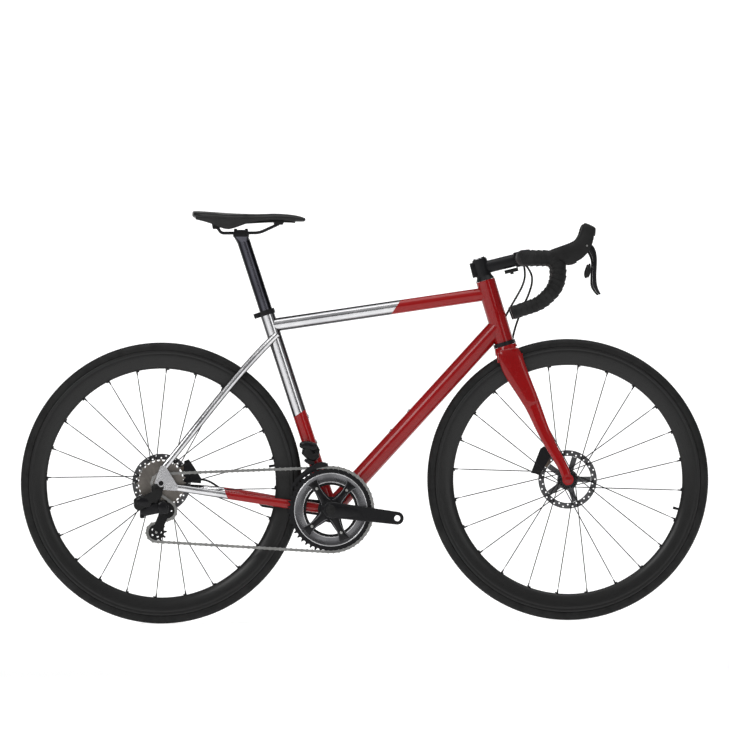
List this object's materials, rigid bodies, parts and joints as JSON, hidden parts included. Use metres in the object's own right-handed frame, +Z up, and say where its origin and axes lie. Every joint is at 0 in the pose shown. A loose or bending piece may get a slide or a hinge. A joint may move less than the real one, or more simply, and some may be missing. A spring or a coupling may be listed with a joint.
{
  "type": "road bicycle",
  "caption": "Road bicycle with a lugless tubular frame, deep rims, disc brakes, drop handlebar and electronic shifting, without pedals.",
  "frame": {"origin": "on the ground, half way between the two wheel contact points, in the middle plane", "axes": "+X forward, +Y to the left of the rider, +Z up"},
  "size_m": [1.6434, 0.4618, 0.9844],
  "materials": {
    "red_paint": "gloss clear coat",
    "polished_steel": "polished, fine scratches",
    "silver_steel": "satin nickel plate",
    "black_metal": "satin black anodised",
    "black_plastic": "satin moulded",
    "black_rubber": "satin hose jacket",
    "bar_tape": "grained wrapped tape",
    "hood_rubber": "matte textured rubber",
    "brake_pad": "sintered block",
    "saddle_cover": "fine grained cover",
    "crank_black": "satin black with bright edges",
    "carbon_rim": "satin carbon",
    "tyre_rubber": "matte rubber",
    "dark_spokes": "black oxide",
    "rotor_steel": "ground steel"
  },
  "bodies": {
    "frame": {"head_tube": "red_paint", "top_tube": "red_paint", "down_tube": "red_paint", "seat_tube": "polished_steel", "bottom_bracket_shell": "red_paint", "stays": "polished_steel", "dropouts": "polished_steel", "frame_bearings": "black_metal", "seat_clamp": "polished_steel", "rear_thru_axle": "black_metal", "bottle_bosses": "silver_steel", "front_derailleur_body": "black_plastic", "rear_derailleur_mount": "black_plastic", "rear_caliper": "black_metal", "rear_brake_hose": "black_rubber", "chain": "silver_steel"},
    "steering": {"fork": "red_paint", "stem": "black_metal", "stem_faceplate": "black_metal", "stem_hardware": "black_metal", "handlebar": "black_metal", "bar_tape": "bar_tape", "lever_hoods": "hood_rubber", "junction_box": "black_plastic", "front_caliper": "black_metal", "front_thru_axle": "black_metal", "front_brake_hose": "black_rubber"},
    "left_lever": {"brake_lever_left": "black_metal"},
    "right_lever": {"brake_lever_right": "black_metal"},
    "left_shifter": {"shift_buttons_left": "black_plastic"},
    "right_shifter": {"shift_buttons_right": "black_plastic"},
    "front_left_pad": {"front_pad_left": "brake_pad"},
    "front_right_pad": {"front_pad_right": "brake_pad"},
    "rear_left_pad": {"rear_pad_left": "brake_pad"},
    "rear_right_pad": {"rear_pad_right": "brake_pad"},
    "seat": {"seatpost": "black_metal", "seatpost_clamp": "black_metal", "saddle_rails": "black_metal", "saddle_shell": "black_plastic", "saddle_padding": "saddle_cover"},
    "crankset": {"crank_arm_right": "crank_black", "crank_arm_left": "crank_black", "chainrings": "crank_black"},
    "front_wheel": {"front_rim": "carbon_rim", "front_tyre": "tyre_rubber", "front_spokes": "dark_spokes", "front_hub": "black_metal", "front_rotor": "rotor_steel"},
    "rear_wheel": {"rear_rim": "carbon_rim", "rear_tyre": "tyre_rubber", "rear_spokes": "dark_spokes", "rear_hub": "black_metal", "rear_rotor": "rotor_steel"},
    "cassette_body": {"cassette": "silver_steel"},
    "front_changer": {"front_derailleur_cage": "black_metal"},
    "rear_link": {"rear_derailleur_link": "black_metal"},
    "rear_knuckle": {"rear_derailleur_knuckle": "black_plastic"},
    "rear_cage": {"rear_derailleur_cage": "black_metal"},
    "guide_wheel": {"guide_pulley": "black_plastic"},
    "tension_wheel": {"tension_pulley": "black_plastic"}
  },
  "joints": [
    {"name": "steering", "type": "hinge", "parent": "frame", "child": "steering", "pos_m": [0.3364, 0, 0.6655], "axis": [-0.2807, 0, 0.9598], "range_deg": [-65, 65], "deforming": ["rear_brake_hose"]},
    {"name": "left_brake_lever", "type": "hinge", "parent": "steering", "child": "left_lever", "pos_m": [0.534, 0.209, 0.893], "axis": [0, 1, 0], "range_deg": [0, 25], "stiffness_Nm_per_rad": 3},
    {"name": "right_brake_lever", "type": "hinge", "parent": "steering", "child": "right_lever", "pos_m": [0.534, -0.209, 0.893], "axis": [0, 1, 0], "range_deg": [0, 25], "stiffness_Nm_per_rad": 3},
    {"name": "left_shift_button", "type": "hinge", "parent": "left_lever", "child": "left_shifter", "pos_m": [0.54, 0.209, 0.849], "axis": [0, 1, 0], "range_deg": [0, 8], "stiffness_Nm_per_rad": 0.4},
    {"name": "right_shift_button", "type": "hinge", "parent": "right_lever", "child": "right_shifter", "pos_m": [0.54, -0.209, 0.849], "axis": [0, 1, 0], "range_deg": [0, 8], "stiffness_Nm_per_rad": 0.4},
    {"name": "front_left_pad_slide", "type": "slide", "parent": "steering", "child": "front_left_pad", "axis": [0, -1, 0], "range_m": [0, 0.0004]},
    {"name": "front_right_pad_slide", "type": "slide", "parent": "steering", "child": "front_right_pad", "axis": [0, 1, 0], "range_m": [0, 0.0004]},
    {"name": "rear_left_pad_slide", "type": "slide", "parent": "frame", "child": "rear_left_pad", "axis": [0, -1, 0], "range_m": [0, 0.0004]},
    {"name": "rear_right_pad_slide", "type": "slide", "parent": "frame", "child": "rear_right_pad", "axis": [0, 1, 0], "range_m": [0, 0.0004]},
    {"name": "seatpost_height", "type": "slide", "parent": "frame", "child": "seat", "axis": [-0.3007, 0, 0.9537], "range_m": [-0.11, 0.06]},
    {"name": "crank_spin", "type": "hinge", "parent": "frame", "child": "crankset", "pos_m": [-0.0812, 0, 0.2693], "axis": [0, 1, 0], "continuous": true, "deforming": ["chain"]},
    {"name": "front_wheel_spin", "type": "hinge", "parent": "steering", "child": "front_wheel", "pos_m": [0.4857, 0, 0.336], "axis": [0, 1, 0], "continuous": true},
    {"name": "rear_wheel_spin", "type": "hinge", "parent": "frame", "child": "rear_wheel", "pos_m": [-0.4857, 0, 0.336], "axis": [0, 1, 0], "continuous": true},
    {"name": "cassette_spin", "type": "hinge", "parent": "frame", "child": "cassette_body", "pos_m": [-0.4857, 0, 0.336], "axis": [0, 1, 0], "continuous": true},
    {"name": "front_shift", "type": "slide", "parent": "frame", "child": "front_changer", "axis": [0, 0.9806, 0.1961], "range_m": [0, 0.0066]},
    {"name": "rear_shift", "type": "hinge", "parent": "frame", "child": "rear_link", "pos_m": [-0.531, -0.0727, 0.261], "axis": [0, 0.62, 0.7846], "range_deg": [0, 66]},
    {"name": "rear_shift_level", "type": "hinge", "parent": "rear_link", "child": "rear_knuckle", "pos_m": [-0.4863, -0.084, 0.27], "axis": [0, 0.62, 0.7846], "range_deg": [-66, 0]},
    {"name": "chain_tension", "type": "hinge", "parent": "rear_knuckle", "child": "rear_cage", "pos_m": [-0.48, -0.07, 0.269], "axis": [0, 1, 0], "range_deg": [-60, 10], "stiffness_Nm_per_rad": 0.8},
    {"name": "guide_pulley_spin", "type": "hinge", "parent": "rear_cage", "child": "guide_wheel", "pos_m": [-0.4726, -0.0645, 0.2704], "axis": [0, 1, 0], "continuous": true},
    {"name": "tension_pulley_spin", "type": "hinge", "parent": "rear_cage", "child": "tension_wheel", "pos_m": [-0.49804, -0.0645, 0.21914], "axis": [0, 1, 0], "continuous": true}
  ],
  "couplings": [
    {"joint": "cassette_spin", "follows": "crank_spin", "ratio": 4.5455},
    {"joint": "guide_pulley_spin", "follows": "crank_spin", "ratio": -4.5455},
    {"joint": "tension_pulley_spin", "follows": "crank_spin", "ratio": 4.5455},
    {"joint": "rear_shift_level", "follows": "rear_shift", "ratio": -1},
    {"joint": "front_left_pad_slide", "follows": "left_brake_lever", "m_per_rad": 0.0009},
    {"joint": "front_right_pad_slide", "follows": "left_brake_lever", "m_per_rad": 0.0009},
    {"joint": "rear_left_pad_slide", "follows": "right_brake_lever", "m_per_rad": 0.0009},
    {"joint": "rear_right_pad_slide", "follows": "right_brake_lever", "m_per_rad": 0.0009}
  ]
}
